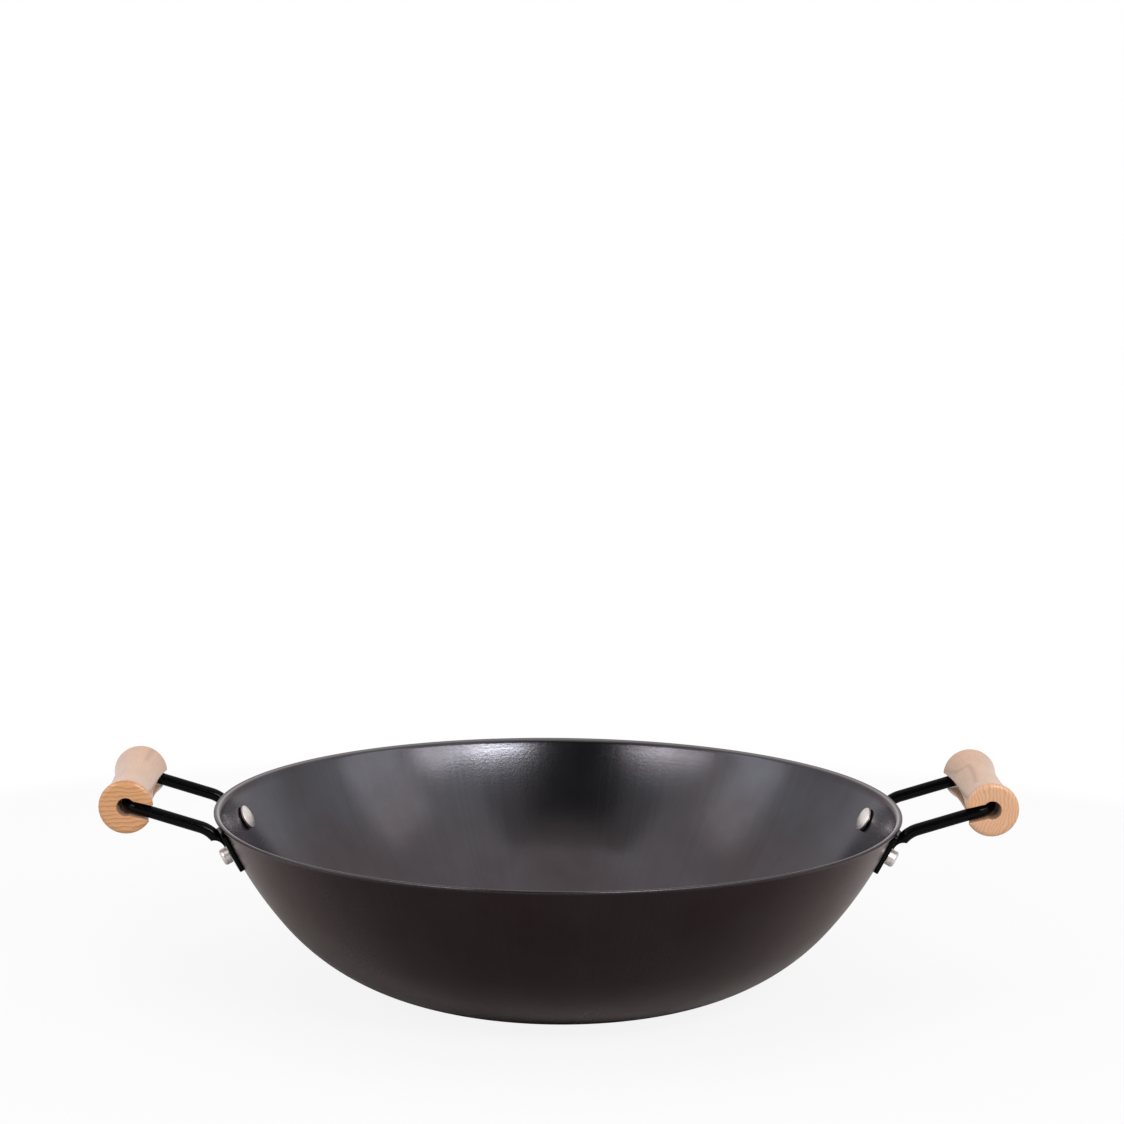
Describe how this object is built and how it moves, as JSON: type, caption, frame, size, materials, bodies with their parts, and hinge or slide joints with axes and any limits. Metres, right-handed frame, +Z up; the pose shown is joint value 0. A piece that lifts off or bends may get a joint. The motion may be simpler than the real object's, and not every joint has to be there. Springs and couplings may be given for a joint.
{
  "type": "two-handled wok",
  "caption": "Flat-base pressed steel wok with a turned-out lip and, on each side, a riveted bent-rod bail carrying a waisted, slotted wooden grip.",
  "frame": {"origin": "middle of the flat base's underside", "axes": "+X from the left handle to the right handle, +Y away from the viewer, +Z up out of the mouth"},
  "size_m": [0.4722, 0.36, 0.1195],
  "materials": {
    "bowl_steel": "dark grey satin carbon-steel sheet",
    "black_enamel": "gloss black",
    "rivet_metal": "satin",
    "beech_wood": "pale clear-lacquered wood"
  },
  "bodies": {
    "root": {"bowl": "bowl_steel", "left_bail": "black_enamel", "right_bail": "black_enamel", "left_front_lug": "black_enamel", "left_back_lug": "black_enamel", "right_front_lug": "black_enamel", "right_back_lug": "black_enamel", "left_front_rivet": "rivet_metal", "left_back_rivet": "rivet_metal", "right_front_rivet": "rivet_metal", "right_back_rivet": "rivet_metal", "left_grip": "beech_wood", "right_grip": "beech_wood"}
  },
  "joints": []
}
